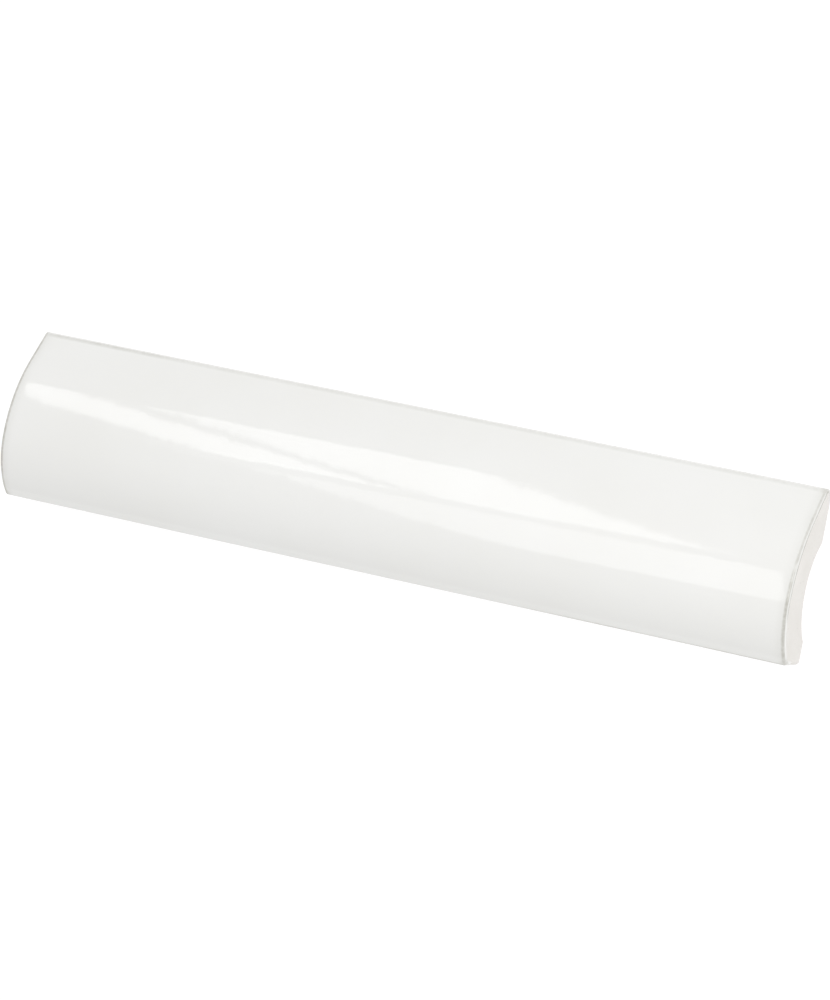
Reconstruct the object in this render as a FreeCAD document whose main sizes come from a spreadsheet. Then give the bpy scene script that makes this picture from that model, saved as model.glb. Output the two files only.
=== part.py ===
import FreeCAD, Part
import os

import Sketcher

# Glazed ceramic bullnose trim tile, lying on its back with the rounded face up.
# X runs along the tile, Y across it from the thick edge to the thin edge, Z up out of the wall.
# The origin is the middle of the back, on the plane that beds on the wall. Millimetres.

SIZES = [
    ("tile_length", 150.0, "end to end, along the run of trim"),
    ("tile_width", 30.0, "thick edge to thin edge"),
    ("crown_height", 11.8, "back plane to the highest line of the face"),
    ("crown_offset", 10.8, "thick edge to the highest line of the face"),
    ("thick_edge", 6.7, "height of the edge that sits on the field tiles"),
    ("thin_edge", 2.7, "height of the edge that dies into the wall"),
    ("flank_width", 5.5, "straight slope beside the thin edge, seen from above"),
    ("heel_width", 4.0, "flat foot under the thick edge"),
    ("groove_width", 16.8, "hollow in the back that keys the adhesive"),
    ("groove_depth", 4.1, "how far the hollow rises into the body"),
    ("face_round", 0.6, "rounding of the edges of the glazed face and of the four upright corners"),
    ("back_bevel", 0.8, "bevel of the two long edges on the back"),
    ("lip_round", 0.5, "rounding where the feet run into the hollow"),
]

NODE = "bullnose_tile"
TOUCH = 1e-4


def add_sheet(doc):
    sheet = doc.addObject("Spreadsheet::Sheet", "Sizes")
    for row, (alias, value, meaning) in enumerate(SIZES, start=1):
        sheet.set(f"A{row}", alias)
        sheet.set(f"B{row}", str(value))
        sheet.set(f"C{row}", meaning)
        sheet.setAlias(f"B{row}", alias)
    doc.recompute()
    return sheet


def origin_plane(body, role):
    return next(plane for plane in body.Origin.OriginFeatures if plane.Role == role)


# Closed outline across the tile, drawn on the YZ plane: sketch x is across, sketch y is up.
def add_section(body, sheet):
    sketch = body.newObject("Sketcher::SketchObject", "Section")
    sketch.AttachmentSupport = [(origin_plane(body, "YZ_Plane"), "")]
    sketch.MapMode = "FlatFace"

    half = sheet.tile_width / 2
    heel_in = sheet.heel_width - half
    toe_in = heel_in + sheet.groove_width
    crown_x = sheet.crown_offset - half
    flank_x = half - sheet.flank_width
    flank_y = (sheet.crown_height + sheet.thin_edge) / 2

    def point(x, y):
        return FreeCAD.Vector(x, y, 0)

    thick_foot, heel = point(-half, 0), point(heel_in, 0)
    toe, thin_foot = point(toe_in, 0), point(half, 0)
    thin_top, flank_top = point(half, sheet.thin_edge), point(flank_x, flank_y)
    crown, thick_top = point(crown_x, sheet.crown_height), point(-half, sheet.thick_edge)
    groove_top = point((heel_in + toe_in) / 2, sheet.groove_depth)
    shoulder = point((crown_x + flank_x) / 2, (3 * sheet.crown_height + flank_y) / 4)
    nose = point((crown_x - half) / 2, (3 * sheet.crown_height + sheet.thick_edge) / 4)

    def line(start, end):
        return sketch.addGeometry(Part.LineSegment(start, end), False)

    def arc(start, middle, end):
        return sketch.addGeometry(Part.Arc(start, middle, end), False)

    heel_line = line(thick_foot, heel)
    groove_arc = arc(toe, groove_top, heel)
    toe_line = line(toe, thin_foot)
    thin_line = line(thin_foot, thin_top)
    flank_line = line(thin_top, flank_top)
    shoulder_arc = arc(flank_top, shoulder, crown)
    nose_arc = arc(crown, nose, thick_top)
    thick_line = line(thick_top, thick_foot)

    start, end, centre = 1, 2, 3
    x_axis, origin = -1, (-1, 1)

    def fix(kind, *where):
        return sketch.addConstraint(Sketcher.Constraint(kind, *where))

    def drive(name, formula, kind, *where):
        index = fix(kind, *where)
        sketch.renameConstraint(index, name)
        sketch.setExpression(f"Constraints.{name}", formula)

    def drive_size(name, kind, *where):
        drive(name, f"Sizes.{name}", kind, *where, getattr(sheet, name))

    fix("Coincident", heel_line, end, groove_arc, end)
    fix("Coincident", groove_arc, start, toe_line, start)
    fix("Coincident", toe_line, end, thin_line, start)
    fix("Coincident", thin_line, end, flank_line, start)
    fix("Coincident", shoulder_arc, end, nose_arc, start)
    fix("Coincident", nose_arc, end, thick_line, start)
    fix("Coincident", thick_line, end, heel_line, start)
    fix("Tangent", flank_line, end, shoulder_arc, start)

    # Both feet lie on the bedding plane, and the two side edges stand square to it.
    fix("PointOnObject", heel_line, end, x_axis)
    fix("PointOnObject", toe_line, start, x_axis)
    fix("Symmetric", heel_line, start, toe_line, end, *origin)
    fix("Horizontal", heel_line)
    fix("Vertical", thick_line)
    fix("Vertical", thin_line)

    # The face is level along the crown, so both of its arcs have their centres under that line.
    fix("Vertical", shoulder_arc, centre, nose_arc, start)
    fix("Vertical", nose_arc, centre, nose_arc, start)

    drive_size("tile_width", "DistanceX", heel_line, start, toe_line, end)
    drive_size("heel_width", "DistanceX", heel_line, start, heel_line, end)
    drive_size("groove_width", "DistanceX", heel_line, end, toe_line, start)
    groove_radius = "(Sizes.groove_width ^ 2 / 4 + Sizes.groove_depth ^ 2) / (2 * Sizes.groove_depth)"
    drive("groove_radius", groove_radius, "Radius", groove_arc, sketch.Geometry[groove_arc].Radius)
    drive_size("thin_edge", "DistanceY", thin_line, start, thin_line, end)
    drive_size("thick_edge", "DistanceY", thick_line, end, thick_line, start)
    drive_size("flank_width", "DistanceX", flank_line, end, flank_line, start)
    drive_size("crown_offset", "DistanceX", heel_line, start, nose_arc, start)
    drive_size("crown_height", "DistanceY", heel_line, start, nose_arc, start)
    return sketch


def named_edges(feature, wanted):
    return [f"Edge{i}" for i, edge in enumerate(feature.Shape.Edges, start=1) if wanted(edge.BoundBox)]


def add_dressing(body, kind, name, base, wanted, setting, size):
    dressing = body.newObject(kind, name)
    dressing.Base = (base, named_edges(base, wanted))
    dressing.setExpression(setting, size)
    body.Document.recompute()
    return dressing


def build_tile(doc, sheet):
    body = doc.addObject("PartDesign::Body", "Tile")
    body.Label = NODE
    section = add_section(body, sheet)

    length = body.newObject("PartDesign::Pad", "Length")
    length.Profile = section
    length.SideType = "Symmetric"
    length.setExpression("Length", "Sizes.tile_length")
    doc.recompute()

    half_width = sheet.tile_width / 2
    heel_lip = sheet.heel_width - half_width
    toe_lip = heel_lip + sheet.groove_width

    def on_side(box):
        return box.YLength < TOUCH and abs(abs(box.YMin) - half_width) < TOUCH

    def crosswise(box):
        return box.XLength < TOUCH

    def lengthwise_back(box):
        return box.ZMax < TOUCH and box.YLength < TOUCH

    def back_edge(box):
        return lengthwise_back(box) and on_side(box)

    def lip(box):
        return lengthwise_back(box) and min(abs(box.YMin - heel_lip), abs(box.YMin - toe_lip)) < TOUCH

    def face_edge(box):
        upright = crosswise(box) and on_side(box)
        front = box.ZMin > min(sheet.thin_edge, sheet.thick_edge) - TOUCH
        return upright or (front and (crosswise(box) or on_side(box)))

    bevel, fillet = "PartDesign::Chamfer", "PartDesign::Fillet"
    step = add_dressing(body, bevel, "BackBevel", length, back_edge, "Size", "Sizes.back_bevel")
    step = add_dressing(body, fillet, "GrooveLips", step, lip, "Radius", "Sizes.lip_round")
    add_dressing(body, fillet, "FaceRounding", step, face_edge, "Radius", "Sizes.face_round")
    return body


def check(doc, body):
    for item in doc.Objects:
        if {"Invalid", "Error"} & set(item.State):
            raise RuntimeError(f"{item.Label} failed: {item.State}")
    if body.Shape.isNull() or not body.Shape.isValid() or len(body.Shape.Solids) != 1:
        raise RuntimeError(f"{body.Label} is not one valid solid")


def main():
    doc = FreeCAD.newDocument("BullnoseTile")
    sheet = add_sheet(doc)
    tile = build_tile(doc, sheet)
    check(doc, tile)
    os.makedirs("parts", exist_ok=True)
    tile.Shape.exportStep(f"parts/{tile.Label}.step")
    box = tile.Shape.optimalBoundingBox(False)
    print(f"{tile.Label}: {box.XLength:.2f} x {box.YLength:.2f} x {box.ZLength:.2f} mm")
    print(f"volume {tile.Shape.Volume:.1f} mm3")


main()
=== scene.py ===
import math

import bmesh
import bpy
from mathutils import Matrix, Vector, noise


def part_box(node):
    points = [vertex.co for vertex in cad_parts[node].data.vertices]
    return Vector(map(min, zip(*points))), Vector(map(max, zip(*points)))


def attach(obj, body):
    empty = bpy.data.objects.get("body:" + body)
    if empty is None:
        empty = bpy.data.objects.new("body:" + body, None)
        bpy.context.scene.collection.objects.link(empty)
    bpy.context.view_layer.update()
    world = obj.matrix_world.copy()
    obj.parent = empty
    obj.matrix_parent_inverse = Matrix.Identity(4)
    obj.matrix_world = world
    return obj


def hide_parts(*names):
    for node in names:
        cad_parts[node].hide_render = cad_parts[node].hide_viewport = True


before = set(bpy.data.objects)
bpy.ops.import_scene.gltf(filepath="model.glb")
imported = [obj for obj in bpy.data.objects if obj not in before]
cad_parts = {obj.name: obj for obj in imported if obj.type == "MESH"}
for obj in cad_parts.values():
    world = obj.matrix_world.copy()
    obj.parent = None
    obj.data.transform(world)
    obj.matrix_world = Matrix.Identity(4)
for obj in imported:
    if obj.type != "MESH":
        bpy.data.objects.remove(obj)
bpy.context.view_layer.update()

scene = bpy.context.scene
mm = 0.001
touch = 0.001 * mm               # closer than this is the same place


def addObject(name, data):
    thing = bpy.data.objects.new(name, data)
    scene.collection.objects.link(thing)
    return thing


# Camera at the photograph's angle
view = {
    "place": (0.27828, 0.03478, 0.65240),
    "turn": (0.029148, 0.403779, 0.203019),  # radians
    "lens": 147.13,              # mm, as the sensor is
    "sensor": 36.0,
    "clip": (0.01, 20.0),        # nearest and farthest depth drawn
}

lens = bpy.data.cameras.new("photoLens")
lens.lens = view["lens"]
lens.sensor_width = view["sensor"]
lens.clip_start, lens.clip_end = view["clip"]
camera = addObject("photoCamera", lens)
camera.location = view["place"]
camera.rotation_euler = view["turn"]
scene.camera = camera
scene.view_settings.view_transform = "Standard"
print("camera placed")

# The tile's section and edges, the same as the solid's, and its coat of glaze
decimals = 6                     # the frame's sizes are read to a micrometre
tileSize = [round(high - low, decimals) for low, high in zip(*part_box("bullnose_tile"))]
tile = {
    "length": tileSize[0],
    "width": tileSize[1],
    "crownHeight": tileSize[2],
    "crownOffset": 10.8 * mm,    # from the thick edge
    "thickEdge": 6.7 * mm,
    "thinEdge": 2.7 * mm,
    "flankWidth": 5.5 * mm,
    "heelWidth": 4.0 * mm,
    "grooveWidth": 16.8 * mm,
    "grooveDepth": 4.1 * mm,
    "faceRound": 0.6 * mm,       # along the edges of the face and round the ends
    "backBevel": 0.8 * mm,
    "lipRound": 0.5 * mm,
    "glazeProud": 0.08 * mm,     # the glaze stands this far off the bare clay
    "glazeRim": 0.12 * mm,       # width of its broken edge at the ends
    "thickSideGlaze": 2.4 * mm,  # how far it runs down the thick side
    "thinSideGlaze": 1.0 * mm,
    "faceStep": 0.35 * mm,       # mesh spacing across the face
    "backStep": 0.70 * mm,
    "edgeSegments": 4,           # in the rounding of a long edge
    "endSegments": 8,
    "rings": 190,                # cuts along the length
    "fineZone": 2.9 * mm,        # finer cuts this near to the ends
    "fineCuts": 3,
    "endCorners": 20,            # a bare end has more corners than this
    "sharpAngle": 40,            # degrees
}
glazeIndex, clayIndex = 0, 1     # order of the finishes on the tile


def vertsOf(geom):
    return [g for g in geom if isinstance(g, bmesh.types.BMVert)]


def stepsIn(length, spacing):
    return max(1, round(length / spacing))


def lineTo(bm, tip, y, z, spacing=None):  # one stretch, unless it is spaced
    reach = Vector((0, y - tip.co.y, z - tip.co.z))
    steps = stepsIn(reach.length, spacing) if spacing else 1
    for _ in range(steps):
        tip = bmesh.ops.extrude_vert_indiv(bm, verts=[tip])["verts"][0]
        bmesh.ops.translate(bm, verts=[tip], vec=reach / steps)
    return tip


def arcTo(bm, tip, y, z, angle, spacing):  # swings the tip about a centre
    radius = math.hypot(tip.co.y - y, tip.co.z - z)
    steps = stepsIn(radius * abs(angle), spacing)
    swung = bmesh.ops.spin(
        bm, geom=[tip], cent=(tip.co.x, y, z), axis=(1, 0, 0), angle=angle, steps=steps
    )
    return vertsOf(swung["geom_last"])[0]


def flankAngle(run, drop, flank):  # slope at which the shoulder arc meets the straight flank
    low, high, halvings = 0, math.pi / 2, 60
    for _ in range(halvings):
        angle = (low + high) / 2
        if run * math.tan(angle / 2) + flank * math.tan(angle) < drop:
            low = angle
        else:
            high = angle
    return angle


def addArcs():  # lines and arcs that follow from the sizes above
    half = tile["width"] / 2
    drop = tile["crownHeight"] - tile["thickEdge"]
    run = tile["width"] - tile["flankWidth"] - tile["crownOffset"]
    chord, depth = tile["grooveWidth"] / 2, tile["grooveDepth"]
    tile["half"] = half
    tile["endX"] = tile["length"] / 2
    tile["crownY"] = tile["crownOffset"] - half
    tile["noseRadius"] = (tile["crownOffset"] ** 2 + drop**2) / (2 * drop)
    tile["noseAngle"] = math.asin(tile["crownOffset"] / tile["noseRadius"])
    tile["slope"] = flankAngle(run, tile["crownHeight"] - tile["thinEdge"], tile["flankWidth"])
    tile["shoulderRadius"] = run / math.sin(tile["slope"])
    tile["heelLip"] = tile["heelWidth"] - half
    tile["toeLip"] = tile["heelLip"] + tile["grooveWidth"]
    tile["grooveRadius"] = (chord**2 + depth**2) / (2 * depth)
    tile["grooveAngle"] = 2 * math.asin(chord / tile["grooveRadius"])
    tile["aboveHollow"] = depth + tile["lipRound"]  # over the hollow, what is higher is the face
    tile["thickLine"] = tile["thickEdge"] - tile["thickSideGlaze"]  # where the glaze ends
    tile["thinLine"] = tile["thinEdge"] - tile["thinSideGlaze"]


def drawSection(bm):
    half, bevel, proud = tile["half"], tile["backBevel"], tile["glazeProud"]
    thickLine, thinLine = tile["thickLine"], tile["thinLine"]
    crownY, crownZ = tile["crownY"], tile["crownHeight"]
    grooveY = (tile["heelLip"] + tile["toeLip"]) / 2
    grooveZ = tile["grooveDepth"] - tile["grooveRadius"]
    flankTop = tile["thinEdge"] + tile["flankWidth"] * math.tan(tile["slope"])
    fine, coarse = tile["faceStep"], tile["backStep"]

    tip = bm.verts.new((-tile["endX"], crownY, crownZ))
    tip = arcTo(bm, tip, crownY, crownZ - tile["noseRadius"], tile["noseAngle"], fine)
    tip = lineTo(bm, tip, -half, thickLine, fine)
    tip = lineTo(bm, tip, -half, thickLine - proud)
    tip = lineTo(bm, tip, -half, bevel, coarse)
    tip = lineTo(bm, tip, -half + bevel, 0)
    tip = lineTo(bm, tip, tile["heelLip"], 0, coarse)
    tip = arcTo(bm, tip, grooveY, grooveZ, -tile["grooveAngle"], coarse)
    tip = lineTo(bm, tip, half - bevel, 0, coarse)
    tip = lineTo(bm, tip, half, bevel)
    tip = lineTo(bm, tip, half, thinLine - proud, fine)
    tip = lineTo(bm, tip, half, thinLine)
    tip = lineTo(bm, tip, half, tile["thinEdge"], fine)
    tip = lineTo(bm, tip, half - tile["flankWidth"], flankTop, fine)
    arcTo(bm, tip, crownY, crownZ - tile["shoulderRadius"], tile["slope"], fine)
    bmesh.ops.remove_doubles(bm, verts=bm.verts, dist=touch)
    return bmesh.ops.contextual_create(bm, geom=bm.edges[:])["faces"][0]


def near(a, b):
    return abs(a - b) < touch


def roundEdges(bm, edges, offset, segments):
    bmesh.ops.bevel(
        bm, geom=edges, offset=offset, offset_type="OFFSET", segments=segments,
        profile=0.5, affect="EDGES", material=-1,
    )


def roundLongEdges(bm):
    upright, lipTurn = math.pi / 2, tile["grooveAngle"] / 2
    corners = [
        (-tile["half"], tile["thickEdge"], tile["faceRound"], upright - tile["noseAngle"]),
        (tile["half"], tile["thinEdge"], tile["faceRound"], upright - tile["slope"]),
        (tile["heelLip"], 0, tile["lipRound"], lipTurn),
        (tile["toeLip"], 0, tile["lipRound"], lipTurn),
    ]
    for y, z, radius, turn in corners:
        edges = [
            e for e in bm.edges
            if all(near(v.co.y, y) and near(v.co.z, z) for v in e.verts)
        ]
        roundEdges(bm, edges, radius * math.tan(turn / 2), tile["edgeSegments"])


def isOutside(co):  # the face and the two sides, not the bevels, feet and hollow of the back
    if tile["heelLip"] - tile["lipRound"] < co.y < tile["toeLip"] + tile["lipRound"]:
        return co.z > tile["aboveHollow"]
    return co.z > tile["backBevel"] - touch


def isGlazed(co):
    if co.y < tile["heelLip"]:
        return co.z > tile["thickLine"] - tile["glazeProud"] / 2
    if co.y > tile["toeLip"]:
        return co.z > tile["thinLine"] - tile["glazeProud"] / 2
    return co.z > tile["aboveHollow"]


def roundEnds(bm):
    rim = [
        e for e in bm.edges
        if near(e.verts[0].co.x, e.verts[1].co.x) and all(isOutside(v.co) for v in e.verts)
    ]
    roundEdges(bm, rim, tile["faceRound"], tile["endSegments"])


def cutRings(bm):
    def run(edge):
        return abs(edge.verts[0].co.x - edge.verts[1].co.x)

    whole = [e for e in bm.edges if run(e) > tile["endX"]]
    bmesh.ops.subdivide_edges(bm, edges=whole, cuts=tile["rings"], use_grid_fill=True)
    spacing = tile["length"] / tile["rings"]
    fineStart = tile["endX"] - tile["fineZone"]
    last = [
        e for e in bm.edges
        if run(e) > spacing / 2 and min(abs(v.co.x) for v in e.verts) > fineStart
    ]
    bmesh.ops.subdivide_edges(bm, edges=last, cuts=tile["fineCuts"], use_grid_fill=True)


def bareEnds(bm):  # the two cut ends, and a small chip at each corner of the back
    return [f for f in bm.faces if len(f.verts) > tile["endCorners"]]


def setBackClay(bm):  # bare clay lies below the glaze, at the ends and low on the sides
    proud = tile["glazeProud"]
    for end in bareEnds(bm):
        bmesh.ops.inset_region(
            bm, faces=[end], thickness=tile["glazeRim"], depth=-proud, use_even_offset=True
        )
    for v in bm.verts:
        if isGlazed(v.co):
            continue
        if near(abs(v.co.x), tile["endX"]):
            v.co.x -= math.copysign(proud, v.co.x)
        onSide = abs(v.co.y) > tile["half"] - tile["backBevel"]
        if onSide and v.co.z > tile["backBevel"] / 2:
            v.co.y -= math.copysign(proud, v.co.y)


def fade(value, start, stop):  # from 0 at the start to 1 at the stop
    part = min(1, max(0, (value - start) / (stop - start)))
    return part * part * (3 - 2 * part)


def blend(first, second, part):
    return first + (second - first) * part


# Where the glaze runs thin and darker, round the ends and along the edges, and painted shade where
# the ends and edges turn away from the light
# Each turn is where a line comes or goes on the rounding of an end, in degrees
wearAndShade = {
    # inner line of the near end, whose reach, blur and weight go from the flank to the nose, darker
    # low on the nose as painted shade
    "lineAcross": (8 * mm, 0),
    "lineReach": (-0.02 * mm, 0.19 * mm),
    "lineBlur": (0.12 * mm, 0.28 * mm),
    "lineWeight": (0.66, 0.95),
    "lineTurn": (43, 33),
    "breakAt": 1.6 * mm,         # it nearly goes out here
    "breakWidth": 1.6 * mm,
    "breakDepth": 0.45,
    # outer line, where the glaze stops, and the broad painted shade that both become low on the
    # nose, where the end turns away from the light
    "seamTurn": (62, 70),
    "joinAcross": (-5.8 * mm, -8.4 * mm),
    "broadTurn": (52, 42),
    "broadShadeWeight": 0.82,
    # one full line round the far end
    "farReach": 0.16 * mm,
    "farBlur": 0.12 * mm,
    "farWeight": 0.88,
    "farSeamTurn": (30, 55),
    # painted shade, a soft greying towards the ends where the face rolls off
    "shadeWidth": 2.3 * mm,
    "shadeWeight": 0.30,
    "shadeCurve": 1.3,
    "shadeTurn": (58, 44),
    # long edges of the face and its corners
    "edgeFade": (0.45 * mm, 0.05 * mm),
    "thickEdgeWeight": (0.14, 0.85),  # darker towards the near end
    "thickEdgeRise": (18 * mm, 42 * mm),
    "thinEdgeWeight": (0.34, 0.64),  # darker towards the far end
    "thinEdgeRise": (-42 * mm, -56 * mm),
    "thinEdgeInset": 0.47 * mm,
    "cornerFade": (2.0 * mm, 0.4 * mm),
    "cornerWeight": 0.60,
}


def endLine(co, fromEnd, turn):  # inner line round each end, and painted shade low on the nose of the near end
    if co.x > 0:
        low = fade(co.y, *wearAndShade["lineAcross"])
        broadShade = fade(co.y, *wearAndShade["joinAcross"])
        reach, blur = blend(*wearAndShade["lineReach"], low), blend(*wearAndShade["lineBlur"], low)
        weight = blend(blend(*wearAndShade["lineWeight"], low), wearAndShade["broadShadeWeight"], broadShade)
        weight *= 1 - wearAndShade["breakDepth"] * fade(abs(co.y - wearAndShade["breakAt"]), wearAndShade["breakWidth"], 0)
        weight *= blend(fade(turn, *wearAndShade["lineTurn"]), fade(turn, *wearAndShade["broadTurn"]), broadShade)
    else:
        reach, blur, weight = wearAndShade["farReach"], wearAndShade["farBlur"], wearAndShade["farWeight"]
    outer = tile["faceRound"] + reach
    return weight * fade(fromEnd, outer, outer - blur)


def endSeam(co, turn, rim):  # where the glaze stops, with a rim of 1 on the edge of a bare end; its dark line is partly a painted shadow of the step onto the clay
    if co.x > 0:
        joined = fade(co.y, *wearAndShade["joinAcross"])
        return max(rim, fade(turn, *wearAndShade["seamTurn"])) * (1 - joined)
    return max(rim, fade(turn, *wearAndShade["farSeamTurn"]))


# painted shade where the face rolls off towards each end
def endShade(fromEnd, turn):
    depth = max(0, 1 - fromEnd / wearAndShade["shadeWidth"]) ** wearAndShade["shadeCurve"]
    return wearAndShade["shadeWeight"] * depth * fade(turn, *wearAndShade["shadeTurn"])


def longEdges(co, fromEnd):  # lines along both long edges, and the dark corners: thin glaze, partly painted shade where the edges turn away from the light
    thick = blend(*wearAndShade["thickEdgeWeight"], fade(co.x, *wearAndShade["thickEdgeRise"]))
    slim = blend(*wearAndShade["thinEdgeWeight"], fade(co.x, *wearAndShade["thinEdgeRise"]))
    edges = [
        (-tile["half"], tile["thickEdge"], 0, thick),
        (tile["half"], tile["thinEdge"], wearAndShade["thinEdgeInset"], slim),
    ]
    darkest = 0
    for y, z, inset, weight in edges:
        apart = math.hypot(co.y - y, co.z - z)
        line = weight * fade(abs(apart - inset), *wearAndShade["edgeFade"])
        corner = wearAndShade["cornerWeight"] * fade(math.hypot(apart, fromEnd), *wearAndShade["cornerFade"])
        darkest = max(darkest, line, corner)
    return darkest


def tagSurfaces(bm):  # glaze or clay on each face, where the glaze runs thin, and where shade is painted
    thin = bm.verts.layers.float.new("thinGlaze")
    seam = bm.verts.layers.float.new("glazeSeam")
    for face in bm.faces:
        glazed = all(isGlazed(v.co) for v in face.verts)
        face.material_index = glazeIndex if glazed else clayIndex
    for face in bareEnds(bm):
        face.material_index = clayIndex
        for v in face.verts:
            v[seam] = 1
    for v in bm.verts:
        if not isGlazed(v.co):
            continue
        fromEnd = tile["endX"] - abs(v.co.x)
        lift = max(0, 1 - fromEnd / tile["faceRound"])  # 0 on the face, 1 on the end
        turn = math.degrees(math.asin(min(1, lift)))
        v[seam] = endSeam(v.co, turn, v[seam])
        ends = max(endLine(v.co, fromEnd, turn), endShade(fromEnd, turn))
        v[thin] = max(ends, longEdges(v.co, fromEnd))


# Relief of the poured glaze and the clay, none of it proud of the solid
relief = {
    "ripple": 0.012 * mm,
    "rippleSize": 4.5 * mm,
    "ripplePlace": (0, 3.7, 1.3),  # which part of the noise is used
    "swell": 0.030 * mm,
    "swellSize": 28 * mm,
    "swellPlace": (5, 2, 9),
    "edgeBlend": (-0.4 * mm, 0.1 * mm),  # where the side turns into the face
    "roll": 0.12 * mm,           # the glaze draws back towards the ends
    "rollWidth": 2.4 * mm,
    "rollCurve": 2,
    "rimWander": 0.05 * mm,      # broken edge of the glaze at the ends
    "rimWanderSize": 1.1 * mm,
    "rimWidth": 0.24 * mm,
    "lipWander": 0.30 * mm,      # lower edge of the glaze on the sides
    "lipWanderSize": 4 * mm,
    "lipWidth": 0.8 * mm,
    "lipDepth": 0.6 * mm,
    "claySwell": 0.02 * mm,
    "claySwellSize": 9 * mm,
    "flatEnd": 0.2 * mm,         # no swell on the cut ends
}


def faceNormal(y):
    if y < tile["crownY"]:
        lean = (y - tile["crownY"]) / tile["noseRadius"]
    else:
        lean = min((y - tile["crownY"]) / tile["shoulderRadius"], math.sin(tile["slope"]))
    return Vector((0, lean, math.sqrt(1 - lean * lean)))


def glazeShift(co):
    fromEnd = tile["endX"] - abs(co.x)
    corner = tile["thickEdge"] if co.y < 0 else tile["thinEdge"]
    onFace = fade(co.z - corner, *relief["edgeBlend"])
    ripple = noise.noise(co / relief["rippleSize"] + Vector(relief["ripplePlace"]))
    swell = noise.noise(co / relief["swellSize"] + Vector(relief["swellPlace"]))
    wave = relief["ripple"] * (1 - ripple) + relief["swell"] * (1 - swell)
    roll = relief["roll"] * max(0, 1 - fromEnd / relief["rollWidth"]) ** relief["rollCurve"]
    sideways = Vector((0, math.copysign(1, co.y), 0))
    outwards = sideways.lerp(faceNormal(co.y), onFace).normalized()
    shift = outwards * -(wave + roll * onFace)
    rim = relief["rimWander"] * fade(fromEnd, relief["rimWidth"], 0)
    wander = rim * (1 + noise.noise(co / relief["rimWanderSize"])) / 2
    shift.x -= math.copysign(wander, co.x)
    return shift


def clayShift(co, normal):
    if tile["endX"] - abs(co.x) < relief["flatEnd"]:
        return Vector((0, 0, 0))
    swell = 1 - noise.noise(co / relief["claySwellSize"])
    return normal * -relief["claySwell"] * swell


def lipShift(co):  # the lower edge of the glaze wanders along the sides
    if abs(co.y) < tile["half"] - relief["lipDepth"]:
        return 0
    line = tile["thickLine"] if co.y < 0 else tile["thinLine"]
    weight = 1 - fade(abs(co.z - line), 0, relief["lipWidth"])
    along = Vector((co.x / relief["lipWanderSize"], co.y / mm, 0))
    return relief["lipWander"] * weight * noise.noise(along)


def cutRelief(bm):
    bm.normal_update()
    for v in bm.verts:
        shift = glazeShift(v.co) if isGlazed(v.co) else clayShift(v.co, v.normal)
        shift.z += lipShift(v.co)
        v.co += shift
        v.co.z = min(max(v.co.z, 0), tile["crownHeight"])


def buildTile():
    addArcs()
    bm = bmesh.new()
    section = drawSection(bm)
    grown = bmesh.ops.extrude_face_region(bm, geom=[section])
    bmesh.ops.translate(bm, verts=vertsOf(grown["geom"]), vec=(tile["length"], 0, 0))
    bmesh.ops.recalc_face_normals(bm, faces=bm.faces)
    roundLongEdges(bm)
    roundEnds(bm)
    cutRings(bm)
    setBackClay(bm)
    bmesh.ops.recalc_face_normals(bm, faces=bm.faces)
    tagSurfaces(bm)
    cutRelief(bm)
    openEdges = sum(not e.is_manifold for e in bm.edges)
    print("tile mesh:", len(bm.verts), "verts,", len(bm.faces), "faces,", openEdges, "open edges")
    mesh = bpy.data.meshes.new("glazedTile")
    bm.to_mesh(mesh)
    bm.free()
    mesh.shade_smooth()
    mesh.set_sharp_from_angle(angle=math.radians(tile["sharpAngle"]))
    for polygon in mesh.polygons:
        polygon.use_smooth = polygon.loop_total <= tile["endCorners"]  # the bare ends are flat
    return mesh


tileMesh = buildTile()
tilePiece = addObject("glazedTile", tileMesh)
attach(tilePiece, "root")
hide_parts("bullnose_tile")


def feed(tree, value, socket):  # another node's output is linked, a plain value is set
    if isinstance(value, bpy.types.NodeSocket):
        tree.links.new(value, socket)
    else:
        socket.default_value = value


def addNode(tree, kind, sockets=None, **settings):
    node = tree.nodes.new(kind)
    for key, value in settings.items():
        setattr(node, key, value)
    for key, value in (sockets or {}).items():
        feed(tree, value, node.inputs[key])
    return node


def addNoise(tree, place, scale, detail):
    sockets = {"Vector": place, "Scale": scale, "Detail": detail}
    return addNode(tree, "ShaderNodeTexNoise", sockets).outputs["Fac"]


def addRange(tree, value, start, stop, low=0, high=1):
    sockets = {"Value": value, "From Min": start, "From Max": stop, "To Min": low, "To Max": high}
    return addNode(tree, "ShaderNodeMapRange", sockets).outputs["Result"]


def addMath(tree, operation, first, second, clamp=False):
    sockets = {0: first, 1: second}
    return addNode(tree, "ShaderNodeMath", sockets, operation=operation, use_clamp=clamp).outputs[0]


def addMix(tree, mask, first, second):
    node = addNode(tree, "ShaderNodeMix", {"Factor": mask}, data_type="RGBA")
    for slot, value in (("A", first), ("B", second)):
        feed(tree, value, next(s for s in node.inputs if s.name == slot and s.type == "RGBA"))
    return next(s for s in node.outputs if s.type == "RGBA")


def addBump(tree, height, distance, strength=1):
    sockets = {"Height": height, "Distance": distance, "Strength": strength}
    return addNode(tree, "ShaderNodeBump", sockets).outputs["Normal"]


def newGroup(name, inputs, outputs):
    group = bpy.data.node_groups.new(name, "ShaderNodeTree")
    for label, kind in inputs.items():
        group.interface.new_socket(label, in_out="INPUT", socket_type=kind)
    for label in outputs:
        group.interface.new_socket(label, in_out="OUTPUT", socket_type="NodeSocketFloat")
    return group, addNode(group, "NodeGroupInput").outputs, addNode(group, "NodeGroupOutput").inputs


# Cloudy change over the surface, coarse and fine
mottle = {
    "detail": 3,
    "contrast": (0.3, 0.7),
    "fineScale": 7.3,            # times the coarse scale
    "fineDetail": 2,
}


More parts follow.
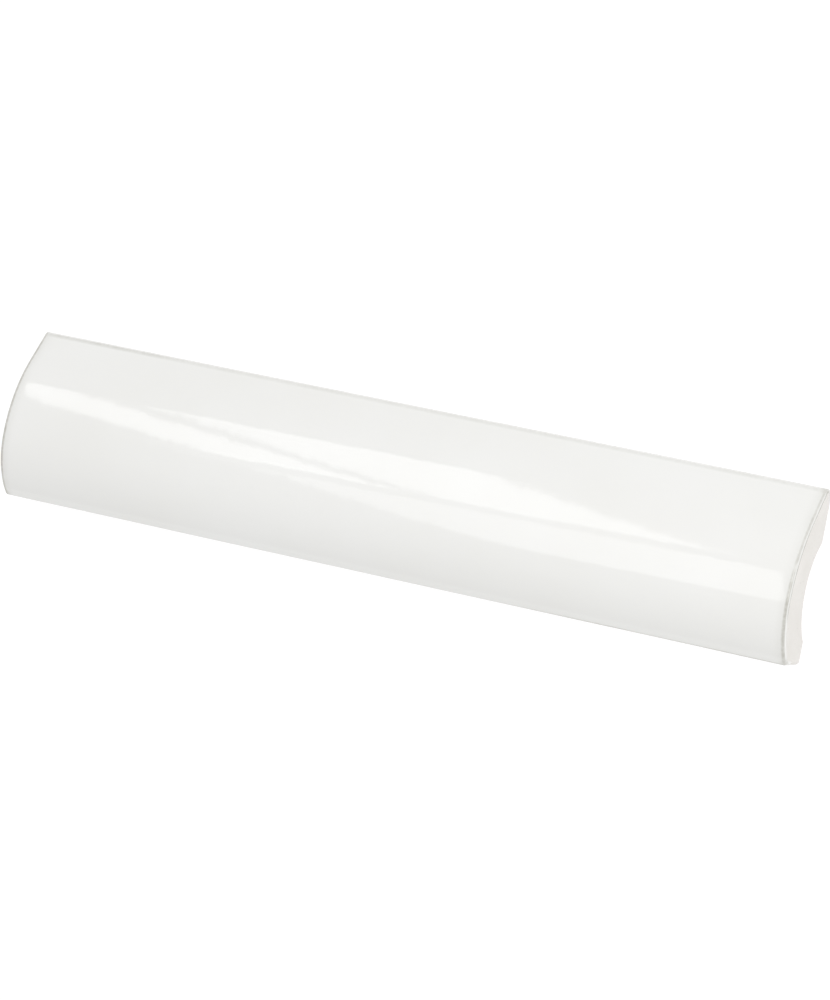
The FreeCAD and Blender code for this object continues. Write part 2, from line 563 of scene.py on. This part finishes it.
def makeMottle():
    inputs = {"Place": "NodeSocketVector", "Scale": "NodeSocketFloat"}
    group, source, sink = newGroup("firedMottle", inputs, ["Cloud", "Fine"])
    cloud = addNoise(group, source["Place"], source["Scale"], mottle["detail"])
    finer = addMath(group, "MULTIPLY", source["Scale"], mottle["fineScale"])
    fine = addNoise(group, source["Place"], finer, mottle["fineDetail"])
    feed(group, addRange(group, cloud, *mottle["contrast"]), sink["Cloud"])
    feed(group, fine, sink["Fine"])
    return group


# An edge mask that comes and goes along the edge, with a ragged outline
broken = {
    "detail": 2,
    "contrast": (0.35, 0.60),
    "floors": (0.70, 0.75),      # what is left in the gaps of the long and the short dashes
    "shortScale": 6.5,           # times the scale of the long dashes
}


def makeBrokenEdge():
    inputs = {
        "Place": "NodeSocketVector", "Edge": "NodeSocketFloat",
        "Dash Scale": "NodeSocketFloat", "Strength": "NodeSocketFloat",
    }
    group, source, sink = newGroup("brokenEdge", inputs, ["Mask"])
    short = addMath(group, "MULTIPLY", source["Dash Scale"], broken["shortScale"])
    mask = source["Edge"]
    for scale, floor in zip((source["Dash Scale"], short), broken["floors"]):
        dash = addNoise(group, source["Place"], scale, broken["detail"])
        mask = addMath(group, "MULTIPLY", addRange(group, dash, *broken["contrast"], floor), mask)
    feed(group, addMath(group, "MULTIPLY", mask, source["Strength"], clamp=True), sink["Mask"])
    return group


mottleGroup = makeMottle()
brokenGroup = makeBrokenEdge()


def addMottle(tree, place, scale):
    sockets = {"Place": place, "Scale": scale}
    node = addNode(tree, "ShaderNodeGroup", sockets, node_tree=mottleGroup)
    return node.outputs["Cloud"], node.outputs["Fine"]


def addEdge(tree, place, attribute, scale, strength):
    edge = addNode(tree, "ShaderNodeAttribute", attribute_name=attribute).outputs["Fac"]
    sockets = {"Place": place, "Edge": edge, "Dash Scale": scale, "Strength": strength}
    return addNode(tree, "ShaderNodeGroup", sockets, node_tree=brokenGroup).outputs["Mask"]


def newMaterial(name):
    material = bpy.data.materials.new(name)
    material.use_nodes = True
    return material, material.node_tree, material.node_tree.nodes["Principled BSDF"].inputs


# White glaze on the face
glaze = {
    "white": (0.815, 0.815, 0.800, 1),
    "cream": (0.795, 0.793, 0.772, 1),
    # colour of thin glaze, and of painted shade at the ends and edges
    "thin": (0.42, 0.41, 0.362, 1),
    "cloudScale": 45.0,          # scales are per metre
    "dashScale": 240.0,
    "edgeStrength": 0.90,
    "seamDashScale": 408.0,
    "seamStrength": 0.85,
    "roughness": (0.055, 0.085),
    "peelScale": 520.0,
    "peelDetail": 0.5,
    "peelHeight": 0.010 * mm,
}


def makeGlaze():
    material, tree, shader = newMaterial("whiteGlaze")
    place = addNode(tree, "ShaderNodeTexCoord").outputs["Object"]
    cloud, fine = addMottle(tree, place, glaze["cloudScale"])
    line = addEdge(tree, place, "thinGlaze", glaze["dashScale"], glaze["edgeStrength"])
    seam = addEdge(tree, place, "glazeSeam", glaze["seamDashScale"], glaze["seamStrength"])
    colour = addMix(tree, cloud, glaze["white"], glaze["cream"])
    # darker where the glaze runs thin and where shade is painted round the ends and edges
    colour = addMix(tree, line, colour, glaze["thin"])
    # dark line where the glaze stops, partly a painted shadow of its step onto the clay
    colour = addMix(tree, seam, colour, glaze["thin"])
    peel = addNoise(tree, place, glaze["peelScale"], glaze["peelDetail"])
    feed(tree, colour, shader["Base Color"])
    feed(tree, addRange(tree, fine, 0, 1, *glaze["roughness"]), shader["Roughness"])
    feed(tree, addBump(tree, peel, glaze["peelHeight"]), shader["Normal"])
    return material


# Bare clay at the ends, low on the sides and on the back
clay = {
    "pale": (0.786, 0.764, 0.737, 1),
    "warm": (0.742, 0.723, 0.691, 1),
    "pit": (0.665, 0.645, 0.610, 1),
    "cloudScale": 180.0,
    "pitScale": 900.0,
    "pitEdge": (0.16, 0.06),
    "grainScale": 2600.0,
    "grainDetail": 4,
    "grainHeight": 0.03 * mm,
    "grainStrength": 0.6,
    "roughness": 0.88,
    "specular": 0.3,
}


def makeClay():
    material, tree, shader = newMaterial("bareClay")
    place = addNode(tree, "ShaderNodeTexCoord").outputs["Object"]
    cloud, _ = addMottle(tree, place, clay["cloudScale"])
    pits = addNode(tree, "ShaderNodeTexVoronoi", {"Vector": place, "Scale": clay["pitScale"]})
    dots = addRange(tree, pits.outputs["Distance"], *clay["pitEdge"])
    colour = addMix(tree, cloud, clay["pale"], clay["warm"])
    colour = addMix(tree, dots, colour, clay["pit"])
    grain = addNoise(tree, place, clay["grainScale"], clay["grainDetail"])
    depth = addMath(tree, "SUBTRACT", grain, dots)
    normal = addBump(tree, depth, clay["grainHeight"], clay["grainStrength"])
    feed(tree, colour, shader["Base Color"])
    feed(tree, clay["roughness"], shader["Roughness"])
    feed(tree, clay["specular"], shader["Specular IOR Level"])
    feed(tree, normal, shader["Normal"])
    return material


tileMesh.materials.append(makeGlaze())
tileMesh.materials.append(makeClay())
print("glaze and clay mixed")

# White table and studio lights
studio = {
    "floorSize": 6.0,
    "floorColour": (0.3, 0.3, 0.3, 1),
    "floorRoughness": 0.9,
    "floorSpecular": 0.1,
    "floorGlow": 0.765,          # a white table lit from below
    "lightColour": (1, 1, 1, 1),
    "dome": 0.692,
    "domeSlope": (0, 0.015, 0.105),  # change towards the near end, the flank and the top
    "panels": {                  # middle, length and width, turn in degrees, radiance
        "farStrip": ((-0.450, 0.472, 0.60), (0.580, 0.071), -60.0, 2.55),
        "topStrip": ((-0.349, 0.518, 0.60), (0.578, 0.096), -62.0, 2.2),
        "topStripSide": ((-0.307, 0.551, 0.60), (0.584, 0.060), -66.6, 2.2),
        "linkGlow": ((-0.273, 0.222, 0.62), (0.196, 0.087), 22.0, 0.50),
        "nearBox": ((-0.168, 0.062, 0.60), (0.195, 0.273), 22.0, 1.50),
    },
    "fillPlace": (0.28, 0.06, 0.32),
    "fillSize": (0.20, 0.20),
    "fillRadiance": 3.8,
}


def makeFloor():
    floorMesh = bpy.data.meshes.new("floor")
    bm = bmesh.new()
    bmesh.ops.create_grid(bm, x_segments=1, y_segments=1, size=studio["floorSize"] / 2)
    bm.to_mesh(floorMesh)
    bm.free()
    floor = addObject("floor", floorMesh)
    table, tree, shader = newMaterial("paleTable")
    feed(tree, studio["floorColour"], shader["Base Color"])
    feed(tree, studio["floorRoughness"], shader["Roughness"])
    feed(tree, studio["floorSpecular"], shader["Specular IOR Level"])
    feed(tree, studio["lightColour"], shader["Emission Color"])
    feed(tree, studio["floorGlow"], shader["Emission Strength"])
    floorMesh.materials.append(table)


def lightDome():
    world = bpy.data.worlds.new("studioDome")
    scene.world = world
    world.use_nodes = True
    tree = world.node_tree
    background = tree.nodes["Background"].inputs
    sockets = {0: addNode(tree, "ShaderNodeTexCoord").outputs["Generated"], 1: studio["domeSlope"]}
    slope = addNode(tree, "ShaderNodeVectorMath", sockets, operation="DOT_PRODUCT")
    feed(tree, addMath(tree, "ADD", slope.outputs["Value"], studio["dome"]), background["Strength"])
    feed(tree, studio["lightColour"], background["Color"])


def hangPanel(name, place, size, turn, radiance):
    length, width = size
    lamp = bpy.data.lights.new(name, "AREA")
    lamp.shape = "RECTANGLE"
    lamp.size, lamp.size_y = size
    lamp.energy = radiance * math.pi * length * width
    panel = addObject(name, lamp)
    panel.location = place
    panel.rotation_euler = turn


def hangPanels():
    for name, (place, size, turn, radiance) in studio["panels"].items():
        hangPanel(name, place, size, (0, 0, math.radians(turn)), radiance)
    aim = Vector(studio["fillPlace"]).to_track_quat("Z", "Y").to_euler()
    hangPanel("softFill", studio["fillPlace"], studio["fillSize"], aim, studio["fillRadiance"])


makeFloor()
lightDome()
hangPanels()
print("studio lit")
